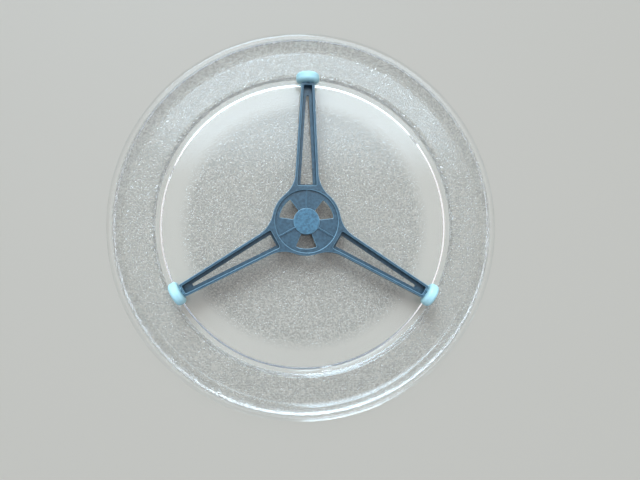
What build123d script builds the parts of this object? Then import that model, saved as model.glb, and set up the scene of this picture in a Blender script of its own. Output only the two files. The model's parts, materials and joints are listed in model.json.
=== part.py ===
from build123d import *

import os
from math import atan2, cos, radians, sin, tan

# Microwave turntable plate of clear pressed glass, with its three-arm roller guide lying on it.
# Millimetres, +Z up, +Y towards the rear roller. The origin is on the plate's axis, on the
# surface that the foot ring stands on.

# Glass plate, worked out from its rim inwards
plate_diameter = 245.0
glass_thickness = 4.7
lip_width = 6.1
wall_run = 2.5
wall_rise = 4.4
shelf_width = 17.65
step_run = 2.2
step_rise = 1.8
foot_to_step = 1.9
step_under_gap = 1.2
step_under_run = 2.1
foot_ring_height = 1.2
foot_land_width = 0.5
foot_flank_run = 1.4
lug_count = 3
lug_first_angle = 38.3
lug_width = 7.8
lug_reach = 0.35
lug_height = 0.85
lug_corner_radius = 0.5

# Bends of the glass, on the face named
lip_top_bend = 1.2
lip_edge_bend = 2.3
lip_under_bend = 1.0
wall_top_bend = 6.0
wall_under_bend = 7.0
step_crest_bend = 2.5
step_base_bend = 2.2
step_under_bend = 1.0
foot_root_bend = 0.3
foot_edge_bend = 0.3

# Roller guide, one moulding
roller_names = ["rear_roller", "left_roller", "right_roller"]
arm_count = len(roller_names)
rear_arm_angle = 89.3
hub_diameter = 42.8
hub_wall = 1.8
hub_skirt = 2.2
hub_floor_depth = 1.6
hub_floor_thickness = 1.8
boss_diameter = 16.3
boss_drop = 0.5
boss_below_skirt = 1.0
window_outer_radius = 17.1
window_half_angle = 22.5
window_corner_radius = 0.7
rib_width = 1.1
rib_height = 1.0
rib_draft = 15.0
arm_root_width = 15.3
arm_tip_width = 8.2
arm_wall = 1.5
arm_height = 6.4
arm_web = 1.8
arm_end_wall = 1.1
arm_above_axle = 3.2
channel_gap = 0.8
channel_corner_radius = 1.0
slot_margin = 2.1
slot_start_gap = 1.3
slot_end_gap = 6.6
slot_corner_radius = 0.7
gusset_radius = 19.0
guide_edge_radius = 0.4

# Drive socket in the underside of the boss, for a shaft with one flat
socket_diameter = 7.1
socket_flat = 2.4
socket_depth = 6.5

# Stub axles and rollers
roller_diameter = 14.7
roller_length = 6.1
roller_crown = 0.2
roller_edge_radius = 2.2
roller_pocket_diameter = 8.4
roller_pocket_depth = 2.3
track_offset = 1.5
axle_diameter = 4.4
axle_clearance = 0.06
shoulder_diameter = 6.2
shoulder_length = 0.6
end_play = 0.15
head_diameter = 5.4
head_length = 1.7
head_tip_diameter = 3.8
head_slot_width = 0.9
head_slot_depth = 4.0
floor_gap = 0.12

# Radii and levels of the plate
plate_radius = plate_diameter / 2
lip_radius = plate_radius - lip_width
wall_radius = lip_radius - wall_run
step_end_radius = wall_radius - shelf_width
step_start_radius = step_end_radius - step_run
foot_ring_radius = step_start_radius - foot_to_step
foot_inner = foot_ring_radius - foot_land_width / 2
foot_outer = foot_ring_radius + foot_land_width / 2
step_under_radius = foot_outer + foot_flank_run + step_under_gap
floor_bottom = foot_ring_height
floor_top = floor_bottom + glass_thickness
shelf_top = floor_top + step_rise
rim_top = shelf_top + wall_rise

# The wall keeps the glass thickness, so the corners of its outer face lie further out
step_slope = atan2(step_rise, step_run)
wall_slope = atan2(wall_rise, wall_run)
wall_under_shift = glass_thickness * tan(wall_slope / 2)

# Radii of the guide, from its own centre
roller_pitch_radius = foot_ring_radius - track_offset
roller_inner_radius = roller_pitch_radius - roller_length / 2
roller_outer_radius = roller_pitch_radius + roller_length / 2
arm_end_radius = roller_inner_radius - end_play - shoulder_length
hub_radius = hub_diameter / 2
hub_inner_radius = hub_radius - hub_wall
boss_radius = boss_diameter / 2
channel_start_radius = hub_radius + channel_gap
window_half_width = hub_radius * tan(radians(window_half_angle))
head_start = roller_outer_radius - roller_pocket_depth + end_play
head_end = head_start + head_length
arm_taper = (arm_root_width - arm_tip_width) / 2 / (arm_end_radius - hub_radius)

# Heights of the guide, above the line that its rollers stand on
roller_radius = roller_diameter / 2
tread_end_radius = roller_radius - roller_crown
pocket_radius = roller_pocket_diameter / 2
bore_radius = axle_diameter / 2 + axle_clearance
axle_height = roller_radius
arm_top = axle_height + arm_above_axle
arm_bottom = arm_top - arm_height
hub_bottom = arm_bottom - hub_skirt
hub_floor_top = arm_top - hub_floor_depth
hub_floor_bottom = hub_floor_top - hub_floor_thickness
boss_top = arm_top - boss_drop
boss_bottom = hub_bottom - boss_below_skirt

# The guide lies flat on the plate's floor, off centre towards the rear, where the rounded edge of
# its rear roller comes to the foot of the step
floor_end_radius = step_start_radius - step_base_bend * tan(step_slope / 2)
guide_shift = floor_end_radius + roller_edge_radius - roller_outer_radius
guide_plane = Plane(origin=(0, guide_shift, floor_top + floor_gap))


# Plane through an axle: X runs out along the arm, Y up, and the origin is over the hub's centre
def axle_plane(angle):
    direction = Vector(cos(radians(angle)), sin(radians(angle)))
    return Plane(
        origin=guide_plane.from_local_coords(Vector(0, 0, axle_height)),
        x_dir=direction,
        z_dir=direction.cross(guide_plane.z_dir),
    )


# Four corners of a tapered strip of the arm that lies inside its outline by the inset
def arm_strip(start_radius, end_radius, inset):
    half_start = arm_tip_width / 2 + arm_taper * (arm_end_radius - start_radius) - inset
    half_end = arm_tip_width / 2 + arm_taper * (arm_end_radius - end_radius) - inset
    return [
        (start_radius, -half_start),
        (end_radius, -half_end),
        (end_radius, half_end),
        (start_radius, half_start),
    ]


# Glass plate: one section turned about the axis, with lugs outside the foot ring
with BuildPart() as glass_plate:
    with BuildSketch(Plane.XZ):
        with BuildLine():
            section = FilletPolyline(
                (0, floor_top),
                (step_start_radius, floor_top),
                (step_end_radius, shelf_top),
                (wall_radius, shelf_top),
                (lip_radius, rim_top),
                (plate_radius, rim_top),
                (plate_radius, rim_top - glass_thickness),
                (lip_radius + wall_under_shift, rim_top - glass_thickness),
                (wall_radius + wall_under_shift, shelf_top - glass_thickness),
                (step_under_radius + step_under_run, shelf_top - glass_thickness),
                (step_under_radius, floor_bottom),
                (foot_outer + foot_flank_run, floor_bottom),
                (foot_outer, 0),
                (foot_inner, 0),
                (foot_inner - foot_flank_run, floor_bottom),
                (0, floor_bottom),
                radius=[
                    step_base_bend,
                    step_crest_bend,
                    wall_top_bend,
                    lip_top_bend,
                    lip_edge_bend,
                    lip_edge_bend,
                    lip_under_bend,
                    wall_under_bend,
                    step_under_bend,
                    step_under_bend,
                    foot_root_bend,
                    foot_edge_bend,
                    foot_edge_bend,
                    foot_root_bend,
                ],
            )
            Line(section @ 1, section @ 0)
        make_face()
    revolve(axis=Axis.Z)
    with BuildSketch(Plane.XY.offset(floor_bottom - lug_height)) as lugs:
        with PolarLocations(foot_ring_radius, lug_count, start_angle=lug_first_angle):
            Rectangle(
                foot_land_width / 2 + foot_flank_run + lug_reach,
                lug_width,
                align=(Align.MIN, Align.CENTER),
            )
        outer_corners = lugs.vertices().sort_by_distance((0, 0, 0))[-2 * lug_count :]
        fillet(outer_corners, lug_corner_radius)
    extrude(amount=lug_height + glass_thickness / 2)
glass_plate.part.label = "glass_plate"

# Roller guide: hub, three channel arms and the stub axles
with BuildPart() as roller_guide:
    with BuildSketch(guide_plane.offset(arm_bottom)) as outline:
        Circle(hub_radius)
        with PolarLocations(0, arm_count, start_angle=rear_arm_angle):
            Polygon(arm_strip(0, arm_end_radius, 0), align=None)
        arm_roots = outline.vertices().sort_by_distance((0, 0, 0))[: 2 * arm_count]
        fillet(arm_roots, gusset_radius)
    extrude(amount=arm_height)

    # Skirt and recessed floor of the hub, and the channels along the arms
    with BuildSketch(guide_plane.offset(hub_bottom)):
        Circle(hub_radius)
    extrude(amount=hub_skirt)
    with BuildSketch(guide_plane.offset(hub_floor_top)):
        Circle(hub_inner_radius)
    extrude(amount=hub_floor_depth, mode=Mode.SUBTRACT)
    with BuildSketch(guide_plane.offset(hub_bottom)):
        Circle(hub_inner_radius)
    extrude(amount=hub_floor_bottom - hub_bottom, mode=Mode.SUBTRACT)
    with BuildSketch(guide_plane.offset(arm_bottom + arm_web)) as channels:
        with PolarLocations(0, arm_count, start_angle=rear_arm_angle):
            Polygon(
                arm_strip(channel_start_radius, arm_end_radius - arm_end_wall, arm_wall),
                align=None,
            )
        fillet(channels.vertices(), channel_corner_radius)
    extrude(amount=arm_height, mode=Mode.SUBTRACT)
    fillet(roller_guide.faces().sort_by(Axis.Z)[-1].edges(), guide_edge_radius)

    # Windows between the arms, and the slots through the webs
    with BuildSketch(guide_plane.offset(hub_floor_bottom)) as windows:
        with PolarLocations(0, arm_count, start_angle=rear_arm_angle + 180 / arm_count):
            Polygon(
                [(0, 0), (hub_radius, -window_half_width), (hub_radius, window_half_width)],
                align=None,
            )
        Circle(window_outer_radius, mode=Mode.INTERSECT)
        Circle(boss_radius, mode=Mode.SUBTRACT)
        fillet(windows.vertices(), window_corner_radius)
    extrude(amount=hub_floor_thickness, mode=Mode.SUBTRACT)
    hub_centre = guide_plane.from_local_coords(Vector(0, 0, hub_floor_top))
    hub_floor = roller_guide.faces().sort_by_distance(hub_centre)[0]
    fillet(hub_floor.inner_wires().edges(), guide_edge_radius)
    with BuildSketch(guide_plane.offset(arm_bottom)) as slots:
        with PolarLocations(0, arm_count, start_angle=rear_arm_angle):
            Polygon(
                arm_strip(
                    channel_start_radius + slot_start_gap,
                    arm_end_radius - slot_end_gap,
                    arm_wall + slot_margin,
                ),
                align=None,
            )
        fillet(slots.vertices(), slot_corner_radius)
    extrude(amount=arm_web, mode=Mode.SUBTRACT)

    # Centre boss, ribs on the hub's floor, and the drive socket
    with BuildSketch(guide_plane.offset(boss_bottom)):
        Circle(boss_radius)
    extrude(amount=boss_top - boss_bottom)
    boss_crown = guide_plane.from_local_coords(Vector(0, 0, boss_top))
    fillet(roller_guide.faces().sort_by_distance(boss_crown)[0].edges(), guide_edge_radius)
    with BuildSketch(guide_plane.offset(hub_floor_top)):
        with PolarLocations((boss_radius + hub_inner_radius) / 2, arm_count, start_angle=rear_arm_angle):
            Rectangle(hub_inner_radius - boss_radius + hub_wall, rib_width)
    extrude(amount=rib_height, taper=rib_draft)
    with BuildSketch(guide_plane.offset(boss_bottom)):
        Circle(socket_diameter / 2)
        with Locations((socket_flat, 0)):
            Rectangle(
                socket_diameter,
                socket_diameter,
                align=(Align.MIN, Align.CENTER),
                mode=Mode.SUBTRACT,
            )
    extrude(amount=socket_depth, mode=Mode.SUBTRACT)

    # Stub axles: a shoulder at the arm's end, the journal, and a split snap head
    for arm in range(arm_count):
        stub = axle_plane(rear_arm_angle + arm * 360 / arm_count)
        with BuildSketch(stub):
            Polygon(
                [
                    (arm_end_radius - arm_end_wall / 2, 0),
                    (arm_end_radius - arm_end_wall / 2, axle_diameter / 2),
                    (arm_end_radius, axle_diameter / 2),
                    (arm_end_radius, shoulder_diameter / 2),
                    (arm_end_radius + shoulder_length, shoulder_diameter / 2),
                    (arm_end_radius + shoulder_length, axle_diameter / 2),
                    (head_start, axle_diameter / 2),
                    (head_start, head_diameter / 2),
                    (head_end, head_tip_diameter / 2),
                    (head_end, 0),
                ],
                align=None,
            )
        revolve(axis=Axis(stub.origin, stub.x_dir))
        with BuildSketch(stub):
            with Locations((head_end, 0)):
                Rectangle(2 * head_slot_depth, head_slot_width)
        extrude(amount=head_diameter / 2, both=True, mode=Mode.SUBTRACT)
roller_guide.part.label = "roller_guide"

os.makedirs("parts", exist_ok=True)
export_step(glass_plate.part, "parts/glass_plate.step")
export_step(roller_guide.part, "parts/roller_guide.step")

# Rollers: crowned tread, rounded edges, and a pocket in the outer face for the snap head
for number, roller_name in enumerate(roller_names):
    spin_plane = axle_plane(rear_arm_angle + number * 360 / arm_count)
    with BuildPart() as roller:
        with BuildSketch(spin_plane) as roller_section:
            with BuildLine():
                ThreePointArc(
                    (roller_inner_radius, tread_end_radius),
                    (roller_pitch_radius, roller_radius),
                    (roller_outer_radius, tread_end_radius),
                )
                Polyline(
                    (roller_outer_radius, tread_end_radius),
                    (roller_outer_radius, pocket_radius),
                    (roller_outer_radius - roller_pocket_depth, pocket_radius),
                    (roller_outer_radius - roller_pocket_depth, bore_radius),
                    (roller_inner_radius, bore_radius),
                    (roller_inner_radius, tread_end_radius),
                )
            make_face()
            fillet(roller_section.vertices().sort_by(Axis.Y)[-2:], roller_edge_radius)
        revolve(axis=Axis(spin_plane.origin, spin_plane.x_dir))
    roller.part.label = roller_name
    export_step(roller.part, f"parts/{roller_name}.step")
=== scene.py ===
import json
import math

import bpy
from mathutils import Matrix, Vector


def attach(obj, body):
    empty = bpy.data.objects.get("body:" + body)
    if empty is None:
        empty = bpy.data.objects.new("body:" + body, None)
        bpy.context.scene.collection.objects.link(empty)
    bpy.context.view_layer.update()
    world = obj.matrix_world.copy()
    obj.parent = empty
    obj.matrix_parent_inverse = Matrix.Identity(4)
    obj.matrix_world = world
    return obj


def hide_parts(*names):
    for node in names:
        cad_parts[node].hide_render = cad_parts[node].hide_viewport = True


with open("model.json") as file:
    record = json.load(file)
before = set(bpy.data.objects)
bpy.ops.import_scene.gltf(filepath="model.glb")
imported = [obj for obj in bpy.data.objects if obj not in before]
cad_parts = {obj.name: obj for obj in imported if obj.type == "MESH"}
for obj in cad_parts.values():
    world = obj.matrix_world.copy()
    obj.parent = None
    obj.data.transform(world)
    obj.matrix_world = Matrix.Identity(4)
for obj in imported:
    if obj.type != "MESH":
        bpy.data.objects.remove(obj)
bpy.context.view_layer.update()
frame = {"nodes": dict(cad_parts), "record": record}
scene = bpy.context.scene
millimetre = 0.001
print("frame loaded:", sorted(frame["nodes"]))


# helpers for node trees

def addNode(tree, kind, inputs=None, **settings):
    node = tree.nodes.new(kind)
    for name, value in settings.items():
        setattr(node, name, value)
    for name, value in (inputs or {}).items():
        socket = node.inputs[name]
        if isinstance(value, bpy.types.NodeSocket):
            tree.links.new(value, socket)
        else:
            socket.default_value = value
    return node


def addSocket(tree, name, kind, direction="INPUT"):
    tree.interface.new_socket(name, in_out=direction, socket_type="NodeSocket" + kind)


def calculate(tree, operation, *values):
    return addNode(tree, "ShaderNodeMath", dict(enumerate(values)), operation=operation).outputs[0]


def rampBetween(tree, value, start, end, low=0.0, high=1.0):
    inputs = {"Value": value, "From Min": start, "From Max": end, "To Min": low, "To Max": high}
    node = addNode(tree, "ShaderNodeMapRange", inputs, interpolation_type="SMOOTHSTEP")
    return node.outputs["Result"]


def fallBefore(tree, value, end, soft, high=1.0, low=0.0):
    # high at first and low from the end on, with a soft stretch before the end
    return rampBetween(tree, value, calculate(tree, "SUBTRACT", end, soft), end, high, low)


def axisDistance(tree, place, axis=(0.0, 0.0, 0.0)):
    # how far a place is from an upright axis
    kind = "ShaderNodeVectorMath"
    outward = addNode(tree, kind, {0: place, 1: axis}, operation="SUBTRACT").outputs[0]
    level = addNode(tree, kind, {0: outward, 1: (1.0, 1.0, 0.0)}, operation="MULTIPLY").outputs[0]
    return addNode(tree, kind, {0: level}, operation="LENGTH").outputs["Value"]


def mixColours(tree, share, first, second):
    # the colours of a Mix node are inputs 6 and 7, and the mixed colour is output 2
    return addNode(tree, "ShaderNodeMix", {0: share, 6: first, 7: second}, data_type="RGBA").outputs[2]


def mixNumbers(tree, share, first, second):
    # the numbers of a Mix node are inputs 2 and 3
    return addNode(tree, "ShaderNodeMix", {0: share, 2: first, 3: second}, data_type="FLOAT").outputs[0]


# section of the glass, in millimetres: radius and height of its corners, each with its bend

glassSizes = {
    "plateRadius": 122.5,
    "thickness": 4.7,
    "lipWidth": 6.1,
    "wallRun": 2.5,
    "wallRise": 4.4,
    "shelfWidth": 17.65,
    "stepRun": 2.2,
    "stepRise": 1.8,
    "footToStep": 1.9,
    "footHeight": 1.2,
    "footLand": 0.5,
    "footFlank": 1.4,
    "stepUnderGap": 1.2,      # from the foot ring's root to the underside of the step
    "stepUnderRun": 2.1,
    "stepBaseBend": 2.2,
    "stepCrestBend": 2.5,
    "stepUnderBend": 1.0,
    "wallTopBend": 6.0,
    "wallUnderBend": 7.0,
    "lipTopBend": 1.2,
    "lipEdgeBend": 2.3,
    "lipUnderBend": 1.0,
    "footRootBend": 0.3,
    "footEdgeBend": 0.3,
    "bendStep": 7.0,          # degrees of a bend between two rings
    "ringGap": 9.0,           # widest gap between rings on a flat
    "guardGap": 0.25,         # ring beside each bend, so the flats shade flat
    "segments": 540,          # columns round the plate
    "weldGap": 0.002,         # points closer than this become one, at the axis and the seam
    "lugCount": 3,
    "lugFirstAngle": 38.3,    # degrees
    "lugCrowding": 0.45,      # columns stand closer together at the lugs
    "lugHalfWidth": 3.9,
    "lugReach": 0.35,         # beyond the foot ring's root
    "lugHeight": 0.85,
    "lugDraft": 0.4,
    "stippleFloor": 74.0,     # texture under the floor ends here
    "stippleRimStart": 94.9,  # and starts again under the step
    "stippleRimEnd": 120.2,
    "stippleFade": 0.8,
    "stippleStepEnd": 97.6,   # deeper texture and painted shade on the slope of the step
    "stippleStepGain": 3.0,
}


def glassCorners(glass):
    lip = glass["plateRadius"] - glass["lipWidth"]
    wall = lip - glass["wallRun"]
    stepEnd = wall - glass["shelfWidth"]
    stepStart = stepEnd - glass["stepRun"]
    foot = stepStart - glass["footToStep"]
    footInner = foot - glass["footLand"] / 2
    footOuter = foot + glass["footLand"] / 2
    floorUnder = glass["footHeight"]
    floorTop = floorUnder + glass["thickness"]
    shelfTop = floorTop + glass["stepRise"]
    shelfUnder = shelfTop - glass["thickness"]
    rimTop = shelfTop + glass["wallRise"]
    rimUnder = rimTop - glass["thickness"]
    stepUnder = footOuter + glass["footFlank"] + glass["stepUnderGap"]
    wallSlope = math.atan2(glass["wallRise"], glass["wallRun"])
    wallShift = glass["thickness"] * math.tan(wallSlope / 2)
    upper = [
        (0, floorTop, 0),
        (stepStart, floorTop, glass["stepBaseBend"]),
        (stepEnd, shelfTop, glass["stepCrestBend"]),
        (wall, shelfTop, glass["wallTopBend"]),
        (lip, rimTop, glass["lipTopBend"]),
        (glass["plateRadius"], rimTop, glass["lipEdgeBend"]),
    ]
    lower = [
        (glass["plateRadius"], rimUnder, glass["lipEdgeBend"]),
        (lip + wallShift, rimUnder, glass["lipUnderBend"]),
        (wall + wallShift, shelfUnder, glass["wallUnderBend"]),
        (stepUnder + glass["stepUnderRun"], shelfUnder, glass["stepUnderBend"]),
        (stepUnder, floorUnder, glass["stepUnderBend"]),
        (footOuter + glass["footFlank"], floorUnder, glass["footRootBend"]),
        (footOuter, 0, glass["footEdgeBend"]),
        (footInner, 0, glass["footEdgeBend"]),
        (footInner - glass["footFlank"], floorUnder, glass["footRootBend"]),
        (0, floorUnder, 0),
    ]
    return upper, lower, foot


def bendPoints(before, corner, after, radius, step):
    corner = Vector(corner)
    toward = (Vector(before) - corner).normalized()
    away = (Vector(after) - corner).normalized()
    halfOpening = math.acos(max(-1.0, min(1.0, toward.dot(away)))) / 2
    centre = corner + (toward + away).normalized() * radius / math.sin(halfOpening)
    first = corner + toward * radius / math.tan(halfOpening) - centre
    last = corner + away * radius / math.tan(halfOpening) - centre
    sweep = first.angle_signed(last)
    count = max(2, math.ceil(abs(math.degrees(sweep)) / step))
    points = []
    for number in range(count + 1):
        turned = first.copy()
        turned.rotate(Matrix.Rotation(-sweep * number / count, 2))
        points.append(centre + turned)
    return points


def sectionPoints(corners, glass):
    # each corner becomes its bend, and each flat gets guard rings and evenly spaced rings
    pieces = [[Vector(corners[0][:2])]]
    for before, corner, after in zip(corners, corners[1:], corners[2:]):
        pieces.append(bendPoints(before[:2], corner[:2], after[:2], corner[2], glass["bendStep"]))
    pieces.append([Vector(corners[-1][:2])])
    points = list(pieces[0])
    for previous, following in zip(pieces, pieces[1:]):
        start = previous[-1]
        run = following[0] - start
        guard = min(glass["guardGap"], run.length / 4)
        along = [guard]
        inner = run.length - 2 * guard
        gaps = max(1, math.ceil(inner / glass["ringGap"]))
        for number in range(1, gaps):
            along.append(guard + inner * number / gaps)
        along.append(run.length - guard)
        points += [start + run.normalized() * distance for distance in along]
        points += following
    return points


# the glass plate: its section is turned about the axis, and the lugs are pressed down from it

def turnedGlassTree():
    tree = bpy.data.node_groups.new("turnedGlass", "GeometryNodeTree")
    addSocket(tree, "Geometry", "Geometry", "OUTPUT")
    addSocket(tree, "Section", "Geometry")
    for name in ("Segments", "Lug Count"):
        addSocket(tree, name, "Int")
    for name in ("Weld Gap", "Lug Angle", "Lug Crowding", "Lug Half Width", "Lug Draft", "Lug Start",
                 "Lug End", "Lug Level", "Stipple Floor", "Stipple Rim Start", "Stipple Rim End",
                 "Stipple Fade", "Stipple Step End", "Stipple Step Gain"):
        addSocket(tree, name, "Float")
    addSocket(tree, "Glass", "Material")
    given = tree.nodes.new("NodeGroupInput").outputs
    section = given["Section"]

    # a sheet with one row for each point of the section
    size = addNode(tree, "GeometryNodeAttributeDomainSize", {"Geometry": section}, component="MESH")
    rings = size.outputs["Point Count"]
    columns = calculate(tree, "ADD", given["Segments"], 1.0)
    sheet = addNode(tree, "GeometryNodeMeshGrid", {"Vertices X": rings, "Vertices Y": columns})
    across = addNode(tree, "ShaderNodeSeparateXYZ", {"Vector": sheet.outputs["UV Map"]})
    lastRing = calculate(tree, "SUBTRACT", rings, 1.0)
    ring = calculate(tree, "ROUND", calculate(tree, "MULTIPLY", across.outputs["X"], lastRing))

    # columns stand closer together round the middle of each lug
    turn = calculate(tree, "MULTIPLY", across.outputs["Y"], 2 * math.pi)
    swing = calculate(tree, "SINE", calculate(tree, "MULTIPLY", turn, given["Lug Count"]))
    pull = calculate(tree, "DIVIDE", given["Lug Crowding"], given["Lug Count"])
    angle = calculate(tree, "SUBTRACT", turn, calculate(tree, "MULTIPLY", swing, pull))
    angle = calculate(tree, "ADD", angle, given["Lug Angle"])

    # turn the section about the axis
    place = addNode(tree, "GeometryNodeInputPosition").outputs[0]
    under = addNode(tree, "GeometryNodeInputNamedAttribute", {"Name": "under"}, data_type="FLOAT")
    point = addNode(tree, "GeometryNodeSampleIndex",
                    {"Geometry": section, "Value": place, "Index": ring}, data_type="FLOAT_VECTOR")
    side = addNode(tree, "GeometryNodeSampleIndex",
                   {"Geometry": section, "Value": under.outputs[0], "Index": ring}, data_type="FLOAT")
    profile = addNode(tree, "ShaderNodeSeparateXYZ", {"Vector": point.outputs[0]}).outputs
    turned = addNode(tree, "ShaderNodeCombineXYZ", {
        "X": calculate(tree, "MULTIPLY", profile["X"], calculate(tree, "COSINE", angle)),
        "Y": calculate(tree, "MULTIPLY", profile["X"], calculate(tree, "SINE", angle)),
        "Z": profile["Z"],
    })
    marked = addNode(tree, "GeometryNodeStoreNamedAttribute",
                     {"Geometry": sheet.outputs["Mesh"], "Name": "under", "Value": side.outputs[0]},
                     data_type="FLOAT", domain="POINT")
    dish = addNode(tree, "GeometryNodeSetPosition",
                   {"Geometry": marked.outputs[0], "Position": turned.outputs[0]})

    # lugs: glass outside the foot ring comes down to the lug's level
    radius = axisDistance(tree, place)
    here = addNode(tree, "ShaderNodeSeparateXYZ", {"Vector": place}).outputs
    bearing = calculate(tree, "ARCTAN2", here["Y"], here["X"])
    halfShare = calculate(tree, "DIVIDE", math.pi, given["Lug Count"])
    bearing = calculate(tree, "WRAP", calculate(tree, "SUBTRACT", bearing, given["Lug Angle"]),
                        halfShare, calculate(tree, "MULTIPLY", halfShare, -1.0))
    spread = calculate(tree, "SINE", calculate(tree, "ABSOLUTE", bearing))
    aside = calculate(tree, "MULTIPLY", radius, spread)
    lugSide = fallBefore(tree, aside, given["Lug Half Width"], given["Lug Draft"])
    lugEnd = fallBefore(tree, radius, given["Lug End"], given["Lug Draft"])
    lugStart = calculate(tree, "GREATER_THAN", radius, given["Lug Start"])
    lug = calculate(tree, "MULTIPLY", calculate(tree, "MULTIPLY", lugSide, lugEnd),
                    calculate(tree, "MULTIPLY", lugStart, under.outputs[0]))
    drop = calculate(tree, "MINIMUM", calculate(tree, "SUBTRACT", given["Lug Level"], here["Z"]), 0.0)
    push = addNode(tree, "ShaderNodeCombineXYZ", {"Z": calculate(tree, "MULTIPLY", lug, drop)})
    lugged = addNode(tree, "GeometryNodeSetPosition",
                     {"Geometry": dish.outputs[0], "Offset": push.outputs[0]})

    # where the underside carries its pressed texture and the painted shade that goes with it
    fade = given["Stipple Fade"]
    onFloor = rampBetween(tree, radius, calculate(tree, "SUBTRACT", given["Stipple Floor"], fade),
                          calculate(tree, "ADD", given["Stipple Floor"], fade), 1.0, 0.0)
    onRim = rampBetween(tree, radius, given["Stipple Rim Start"],
                        calculate(tree, "ADD", given["Stipple Rim Start"], fade))
    offRim = fallBefore(tree, radius, given["Stipple Rim End"], fade)
    onStep = fallBefore(tree, radius, given["Stipple Step End"], fade, given["Stipple Step Gain"], 1.0)
    onRim = calculate(tree, "MULTIPLY", onRim, onStep)
    stipple = calculate(tree, "ADD", onFloor, calculate(tree, "MULTIPLY", onRim, offRim))
    stipple = calculate(tree, "MULTIPLY", stipple, under.outputs[0])
    textured = addNode(tree, "GeometryNodeStoreNamedAttribute",
                       {"Geometry": lugged.outputs[0], "Name": "stipple", "Value": stipple},
                       data_type="FLOAT", domain="POINT")

    closed = addNode(tree, "GeometryNodeMergeByDistance",
                     {"Geometry": textured.outputs[0], "Distance": given["Weld Gap"]})
    smooth = addNode(tree, "GeometryNodeSetShadeSmooth", {"Geometry": closed.outputs[0]})
    real = addNode(tree, "GeometryNodeRealizeInstances", {"Geometry": smooth.outputs[0]})
    finished = addNode(tree, "GeometryNodeSetMaterial",
                       {"Geometry": real.outputs[0], "Material": given["Glass"]})
    addNode(tree, "NodeGroupOutput", {"Geometry": finished.outputs[0]})
    return tree


def applyTree(owner, tree, values):
    modifier = owner.modifiers.new(tree.name, "NODES")
    modifier.node_group = tree
    for item in tree.interface.items_tree:
        if item.in_out == "INPUT" and item.name in values:
            modifier[item.identifier] = values[item.name]
    graph = bpy.context.evaluated_depsgraph_get()
    mesh = bpy.data.meshes.new_from_object(owner.evaluated_get(graph))
    owner.modifiers.remove(modifier)
    return mesh


def makeGlassPlate(glass, material):
    upper, lower, foot = glassCorners(glass)
    points = sectionPoints(upper + lower, glass)
    edgeHeight = (upper[-1][1] + lower[0][1]) / 2
    edge = max(range(len(points)),
               key=lambda number: (points[number].x, -abs(points[number].y - edgeHeight)))
    section = bpy.data.meshes.new("glassSection")
    section.from_pydata([(point.x * millimetre, 0, point.y * millimetre) for point in points], [], [])
    under = section.attributes.new("under", "FLOAT", "POINT")  # 1 past the middle of the rim's edge
    under.data.foreach_set("value", [float(number > edge) for number in range(len(points))])
    maker = bpy.data.objects.new("glassSection", section)
    scene.collection.objects.link(maker)
    footRoot = foot + glass["footLand"] / 2 + glass["footFlank"]
    mesh = applyTree(maker, turnedGlassTree(), {
        "Segments": glass["segments"],
        "Weld Gap": glass["weldGap"] * millimetre,
        "Lug Count": glass["lugCount"],
        "Lug Angle": math.radians(glass["lugFirstAngle"]),
        "Lug Crowding": glass["lugCrowding"],
        "Lug Half Width": glass["lugHalfWidth"] * millimetre,
        "Lug Draft": glass["lugDraft"] * millimetre,
        "Lug Start": foot * millimetre,
        "Lug End": (footRoot + glass["lugReach"]) * millimetre,
        "Lug Level": (glass["footHeight"] - glass["lugHeight"]) * millimetre,
        "Stipple Floor": glass["stippleFloor"] * millimetre,
        "Stipple Rim Start": glass["stippleRimStart"] * millimetre,
        "Stipple Rim End": glass["stippleRimEnd"] * millimetre,
        "Stipple Fade": glass["stippleFade"] * millimetre,
        "Stipple Step End": glass["stippleStepEnd"] * millimetre,
        "Stipple Step Gain": glass["stippleStepGain"],
        "Glass": material,
    })
    bpy.data.objects.remove(maker)
    mesh.name = "glassPlate"
    plate = bpy.data.objects.new("glassPlate", mesh)
    scene.collection.objects.link(plate)
    print("glass plate:", len(points), "rings,", len(mesh.vertices), "points,",
          len(mesh.polygons), "faces")
    return plate


# finishes, with lengths in metres

def newMaterial(name):
    material = bpy.data.materials.new(name)
    material.use_nodes = True
    material.node_tree.nodes.clear()
    return material, material.node_tree


glassLook = {
    "tint": (0.985, 0.993, 0.99, 1.0),
    # painted shade in the texture's valleys, and painted caustics in the light passing to the floor
    "paintedValleyShadeTint": (0.48, 0.49, 0.49, 1.0),
    "shadowTint": (0.985, 0.99, 0.988, 1.0),
    "paintedCausticShadowTint": (0.84, 0.85, 0.85, 1.0),
    "roughness": 0.02,
    "ior": 1.5,
    "wrinkleScale": 660.0,    # wrinkles to a metre
    "wrinkleDetail": 1.0,
    "wrinkleRoughness": 0.4,
    "ridgeReach": 0.14,       # of the noise, from the middle of a ridge to the valley
    "ridgeHeight": 0.00013,
}


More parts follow.
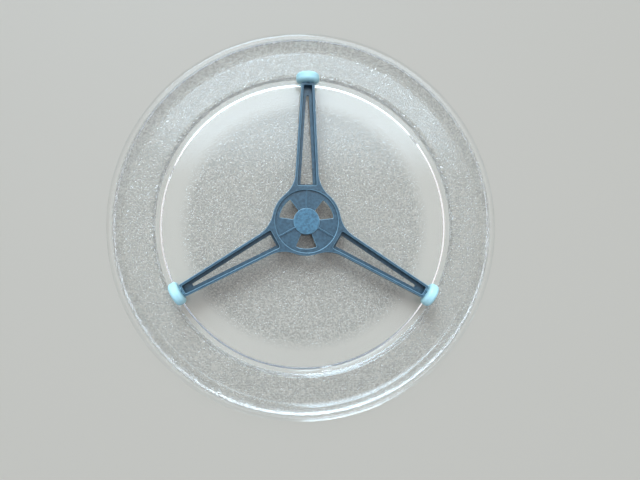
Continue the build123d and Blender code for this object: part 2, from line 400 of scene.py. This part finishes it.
def pressedGlass(look):
    material, tree = newMaterial("pressedGlass")
    place = addNode(tree, "ShaderNodeTexCoord").outputs["Object"]
    zone = addNode(tree, "ShaderNodeAttribute", attribute_name="stipple").outputs["Fac"]
    cloud = addNode(tree, "ShaderNodeTexNoise", {
        "Vector": place,
        "Scale": look["wrinkleScale"],
        "Detail": look["wrinkleDetail"],
        "Roughness": look["wrinkleRoughness"],
    })
    # a ridge runs wherever the noise crosses its middle value
    away = calculate(tree, "ABSOLUTE", calculate(tree, "SUBTRACT", cloud.outputs["Fac"], 0.5))
    ridge = rampBetween(tree, away, 0.0, look["ridgeReach"], 1.0, 0.0)
    valley = rampBetween(tree, away, 0.0, look["ridgeReach"])
    relief = calculate(tree, "MULTIPLY", ridge, zone)
    # painted shade: in the valleys between ridges the glass's colour is darkened, standing in for the
    # light the pressed texture bends away
    paintedShadeShare = calculate(tree, "MULTIPLY", valley, zone)
    tint = mixColours(tree, paintedShadeShare, look["tint"], look["paintedValleyShadeTint"])
    # painted caustics: the light that passes to the floor is dimmed in the same valleys, standing in for
    # the pattern the pressed texture casts
    shadowWithPaintedCaustics = mixColours(tree, paintedShadeShare, look["shadowTint"], look["paintedCausticShadowTint"])
    bump = addNode(tree, "ShaderNodeBump",
                   {"Strength": 1.0, "Distance": look["ridgeHeight"], "Height": relief})
    glass = addNode(tree, "ShaderNodeBsdfPrincipled", {
        "Base Color": tint,
        "Roughness": look["roughness"],
        "IOR": look["ior"],
        "Transmission Weight": 1.0,
        "Normal": bump.outputs["Normal"],
    })
    # shadow and diffuse rays pass straight through, so the floor under the glass is lit
    clear = addNode(tree, "ShaderNodeBsdfTransparent", {"Color": shadowWithPaintedCaustics})
    path = addNode(tree, "ShaderNodeLightPath").outputs
    passing = calculate(tree, "MAXIMUM", path["Is Shadow Ray"], path["Is Diffuse Ray"])
    both = addNode(tree, "ShaderNodeMixShader", {0: passing, 1: glass.outputs[0], 2: clear.outputs[0]})
    addNode(tree, "ShaderNodeOutputMaterial", {"Surface": both.outputs[0]})
    return material


grainLayers = {
    "cloud": {"Detail": 5.0, "Roughness": 0.62},
    "speck": {"Detail": 2.0, "Roughness": 0.6},
    "tooth": {"Detail": 2.0, "Roughness": 0.5},
    "paleRange": (0.3, 0.7),     # of cloud and speck, from the dark colour to the light one
    "glossRange": (0.25, 0.75),  # of the tooth, from dull to glossy
}


def mouldGrainGroup(layers):
    # moulded plastic: a fine tooth, a clouded and specked colour, and a gloss that follows the tooth
    tree = bpy.data.node_groups.new("mouldGrain", "ShaderNodeTree")
    addSocket(tree, "Vector", "Vector")
    for name in ("Dark Colour", "Light Colour"):
        addSocket(tree, name, "Color")
    for name in ("Cloud Scale", "Speck Scale", "Speck Share", "Tooth Scale",
                 "Dull Roughness", "Glossy Roughness"):
        addSocket(tree, name, "Float")
    addSocket(tree, "Colour", "Color", "OUTPUT")
    for name in ("Roughness", "Height", "Speck"):
        addSocket(tree, name, "Float", "OUTPUT")
    given = tree.nodes.new("NodeGroupInput").outputs
    noise = {}
    for layer, scale in (("cloud", "Cloud Scale"), ("speck", "Speck Scale"), ("tooth", "Tooth Scale")):
        inputs = {"Vector": given["Vector"], "Scale": given[scale], **layers[layer]}
        noise[layer] = addNode(tree, "ShaderNodeTexNoise", inputs).outputs["Fac"]
    paleCloud = rampBetween(tree, noise["cloud"], *layers["paleRange"])
    paleSpeck = rampBetween(tree, noise["speck"], *layers["paleRange"])
    pale = mixNumbers(tree, given["Speck Share"], paleCloud, paleSpeck)
    addNode(tree, "NodeGroupOutput", {
        "Colour": mixColours(tree, pale, given["Dark Colour"], given["Light Colour"]),
        "Roughness": rampBetween(tree, noise["tooth"], *layers["glossRange"],
                                 given["Dull Roughness"], given["Glossy Roughness"]),
        "Height": noise["tooth"],
        "Speck": paleSpeck,
    })
    return tree


def mouldedPlastic(name, group, look):
    material, tree = newMaterial(name)
    coordinates = addNode(tree, "ShaderNodeTexCoord").outputs
    place = coordinates["Object"]
    grain = addNode(tree, "ShaderNodeGroup", {"Vector": place, **look["grain"]}, node_tree=group).outputs
    bump = addNode(tree, "ShaderNodeBump", {
        "Strength": look["toothStrength"],
        "Distance": look["toothDepth"],
        "Height": grain["Height"],
    })
    colour = grain["Colour"]
    if "boss" in look:
        boss = look["boss"]
        radius = axisDistance(tree, place, boss["axis"])
        onBoss = rampBetween(tree, radius, boss["radius"], boss["radius"] - boss["edge"])
        bossPaleness = rampBetween(tree, grain["Speck"], 0.0, 1.0, boss["low"], boss["high"])
        colour = mixColours(tree, calculate(tree, "MULTIPLY", onBoss, bossPaleness), colour, boss["colour"])
    # painted highlight: faces that lean between upright and level are mixed towards a paler colour
    if "edge" in look:
        edge = look["edge"]
        facing = addNode(tree, "ShaderNodeSeparateXYZ", {"Vector": coordinates["Normal"]}).outputs["Z"]
        leaning = rampBetween(tree, facing, edge["upright"], edge["upright"] + edge["soft"])
        notLevel = rampBetween(tree, facing, edge["level"], edge["level"] - edge["soft"],
                               0.0, edge["share"])
        colour = mixColours(tree, calculate(tree, "MULTIPLY", leaning, notLevel), colour, edge["colour"])
    plastic = addNode(tree, "ShaderNodeBsdfPrincipled", {
        "Base Color": colour,
        "Roughness": grain["Roughness"],
        "IOR": look["ior"],
        "Normal": bump.outputs["Normal"],
    })
    addNode(tree, "ShaderNodeOutputMaterial", {"Surface": plastic.outputs[0]})
    return material


driveSocket = next(mount for mount in frame["record"]["mounts"] if mount["name"] == "drive_socket")

guideLook = {
    "ior": 1.5,
    # the boss over the drive socket is paler than the floor round it, in specks
    "boss": {
        "axis": driveSocket["pos_m"],
        "radius": 0.0083,
        "edge": 0.0002,
        "low": 0.26,
        "high": 0.54,
        "colour": (0.10, 0.30, 0.46, 1.0),
    },
    # painted highlight: rounded edges, sides of the ribs and stub axles, where the normal leans between
    # upright and level, are painted paler in place of the light they catch
    "edge": {
        "upright": 0.12,  # least upward part of a highlighted face's normal
        "level": 0.985,   # and the greatest
        "soft": 0.1,
        "share": 0.85,
        "colour": (0.28, 0.48, 0.62, 1.0),
    },
    "toothStrength": 0.35,
    "toothDepth": 0.00006,
    "grain": {
        "Dark Colour": (0.0195, 0.060, 0.096, 1.0),
        "Light Colour": (0.051, 0.122, 0.180, 1.0),
        "Cloud Scale": 160.0,
        "Speck Scale": 650.0,
        "Speck Share": 0.8,
        "Tooth Scale": 2200.0,
        "Dull Roughness": 0.42,
        "Glossy Roughness": 0.28,
    },
}

rollerLook = {
    "ior": 1.5,
    "toothStrength": 0.2,
    "toothDepth": 0.00004,
    "grain": {
        "Dark Colour": (0.50, 0.82, 0.90, 1.0),
        "Light Colour": (0.57, 0.89, 0.95, 1.0),
        "Cloud Scale": 220.0,
        "Speck Scale": 900.0,
        "Speck Share": 0.3,
        "Tooth Scale": 1800.0,
        "Dull Roughness": 0.48,
        "Glossy Roughness": 0.36,
    },
}

mouldGrain = mouldGrainGroup(grainLayers)
guidePlastic = mouldedPlastic("guidePlastic", mouldGrain, guideLook)
rollerPlastic = mouldedPlastic("rollerPlastic", mouldGrain, rollerLook)
print("finishes made")

glassPlate = makeGlassPlate(glassSizes, pressedGlass(glassLook))
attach(glassPlate, "turntable")
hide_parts("glass_plate")


def refinish(node, material):
    mesh = frame["nodes"][node].data
    mesh.materials.clear()
    mesh.materials.append(material)


refinish("roller_guide", guidePlastic)
for rollerName in ("rear_roller", "left_roller", "right_roller"):
    refinish(rollerName, rollerPlastic)
print("guide and rollers finished")


# floor, light and camera, in metres

stageSizes = {
    "floorHalf": 3.0,
    "floorDrop": 0.0001,
    "floorColour": (0.53, 0.47, 0.405, 1.0),
    "floorRoughness": 0.6,
}


def makeFloor(stage):
    half = stage["floorHalf"]
    mesh = bpy.data.meshes.new("floor")
    corners = [(-half, -half), (half, -half), (half, half), (-half, half)]
    mesh.from_pydata([(x, y, -stage["floorDrop"]) for x, y in corners], [], [(0, 1, 2, 3)])
    floor = bpy.data.objects.new("floor", mesh)
    scene.collection.objects.link(floor)
    material, tree = newMaterial("paleFloor")
    matt = addNode(tree, "ShaderNodeBsdfPrincipled",
                   {"Base Color": stage["floorColour"], "Roughness": stage["floorRoughness"]})
    addNode(tree, "ShaderNodeOutputMaterial", {"Surface": matt.outputs[0]})
    mesh.materials.append(material)


lightSizes = {
    # edges of the two bright panels on the far side, as slopes seen from the plate
    "ceiling": {"left": -0.21, "right": 0.33, "near": 0.20, "far": 0.52, "strength": 3.2},
    "window": {"left": -0.60, "right": 0.12, "near": 0.50, "far": 2.60, "strength": 9.0},
    "softEdge": 0.06,
    "panelColour": (0.68, 0.86, 1.0, 1.0),
    "lampColour": (1.00, 0.99, 0.99, 1.0),
    "skyColour": (0.42, 0.38, 0.34, 1.0),
    "horizonColour": (0.22, 0.20, 0.18, 1.0),
    "roomColour": (0.26, 0.32, 0.40, 1.0),
    "skyRise": (0.25, 0.70),      # height of a direction, from the horizon's colour to the sky's
    "lampRise": (0.70, 0.90),     # and from the sky's colour to the lamp's
    "roomSlope": (-0.40, -0.08),  # from the near side of the room to the dome
    "leastRise": 0.02,            # slopes are taken at this height or more
}


def panelStrength(tree, slopeX, slopeY, panel, soft):
    strength = rampBetween(tree, slopeX, panel["left"] - soft, panel["left"] + soft,
                           0.0, panel["strength"])
    for value, start, end in (
        (slopeX, panel["right"] + soft, panel["right"] - soft),
        (slopeY, panel["near"] - soft, panel["near"] + soft),
        (slopeY, panel["far"] + soft, panel["far"] - soft),
    ):
        strength = calculate(tree, "MULTIPLY", strength, rampBetween(tree, value, start, end))
    return strength


def makeLight(light):
    # a soft dome with a lamp overhead, dimmer on the near side, and two panels on the far side
    world = bpy.data.worlds.new("studio")
    world.use_nodes = True
    tree = world.node_tree
    tree.nodes.clear()
    direction = addNode(tree, "ShaderNodeTexCoord").outputs["Generated"]
    along = addNode(tree, "ShaderNodeSeparateXYZ", {"Vector": direction}).outputs
    height = calculate(tree, "MAXIMUM", along["Z"], light["leastRise"])
    slopeX = calculate(tree, "DIVIDE", along["X"], height)
    slopeY = calculate(tree, "DIVIDE", along["Y"], height)
    ceiling = panelStrength(tree, slopeX, slopeY, light["ceiling"], light["softEdge"])
    window = panelStrength(tree, slopeX, slopeY, light["window"], light["softEdge"])
    panels = calculate(tree, "ADD", ceiling, window)
    skyShare = rampBetween(tree, along["Z"], *light["skyRise"])
    lampShare = rampBetween(tree, along["Z"], *light["lampRise"])
    domeShare = rampBetween(tree, slopeY, *light["roomSlope"])
    dome = mixColours(tree, skyShare, light["horizonColour"], light["skyColour"])
    dome = mixColours(tree, lampShare, dome, light["lampColour"])
    dome = mixColours(tree, domeShare, light["roomColour"], dome)
    domeGlow = addNode(tree, "ShaderNodeBackground", {"Color": dome, "Strength": 1.0})
    panelGlow = addNode(tree, "ShaderNodeBackground", {"Color": light["panelColour"], "Strength": panels})
    glow = addNode(tree, "ShaderNodeAddShader", {0: domeGlow.outputs[0], 1: panelGlow.outputs[0]})
    addNode(tree, "ShaderNodeOutputWorld", {"Surface": glow.outputs[0]})
    scene.world = world


cameraSizes = {
    "place": (-0.01983, -0.02478, 0.35585),
    "tilt": 2.50,   # degrees, towards the far side
    "swing": 4.72,  # degrees, towards the right
    "lens": 30.94,  # millimetres
    "clipStart": 0.01,
}


def makeCamera(view):
    tilt = math.radians(view["tilt"])
    swing = math.radians(view["swing"])
    right = Vector((math.cos(swing), -math.sin(swing) * math.sin(tilt), math.sin(swing) * math.cos(tilt)))
    up = Vector((0, math.cos(tilt), math.sin(tilt)))
    back = right.cross(up)
    turn = Matrix((right, up, back)).transposed().to_4x4()
    data = bpy.data.cameras.new("camera")
    data.lens = view["lens"]
    data.clip_start = view["clipStart"]
    camera = bpy.data.objects.new("camera", data)
    camera.matrix_world = Matrix.Translation(view["place"]) @ turn
    scene.collection.objects.link(camera)
    scene.camera = camera


makeFloor(stageSizes)
makeLight(lightSizes)
makeCamera(cameraSizes)
scene.view_settings.view_transform = "Standard"
scene.cycles.max_bounces = 24  # light crosses the glass of the rim many times
scene.cycles.glossy_bounces = 16
scene.cycles.transmission_bounces = 24
print("stage ready")
